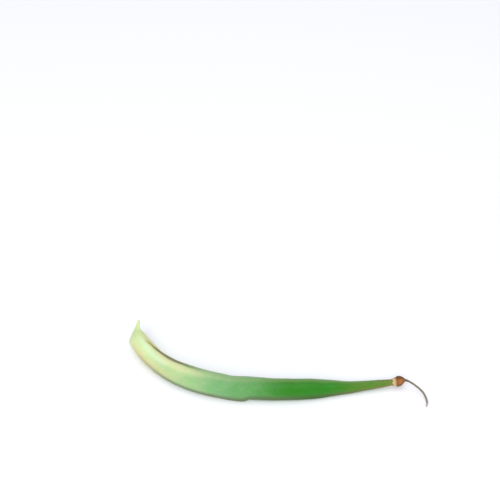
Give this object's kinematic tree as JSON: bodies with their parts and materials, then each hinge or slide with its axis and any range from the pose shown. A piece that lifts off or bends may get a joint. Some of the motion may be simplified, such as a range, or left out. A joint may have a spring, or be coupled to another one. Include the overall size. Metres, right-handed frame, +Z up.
{
  "type": "green bean",
  "caption": "Slender curved green bean pod lying on its side, with a hooked beak at its tip and a dry brown calyx and thin bent stalk at its other end.",
  "frame": {"origin": "on the level surface that the bean rests on, in the middle of the pod's flattened underside across its width, 57 mm along the pod's curve from the end in the calyx", "axes": "+X along the bean's length towards the stalk, +Y towards the side that the beak end bends to, +Z up from the surface that it lies on"},
  "size_m": [0.1278, 0.0406, 0.0117],
  "materials": {
    "pod_skin": "fresh green pod skin, satin with a thin wax, pale yellow-green towards the tip",
    "dry_stem": "dry brown calyx with a paler rim, grey-brown fibrous stalk, matte"
  },
  "bodies": {
    "root": {"pod": "pod_skin", "stem_with_calyx": "dry_stem"}
  },
  "joints": []
}
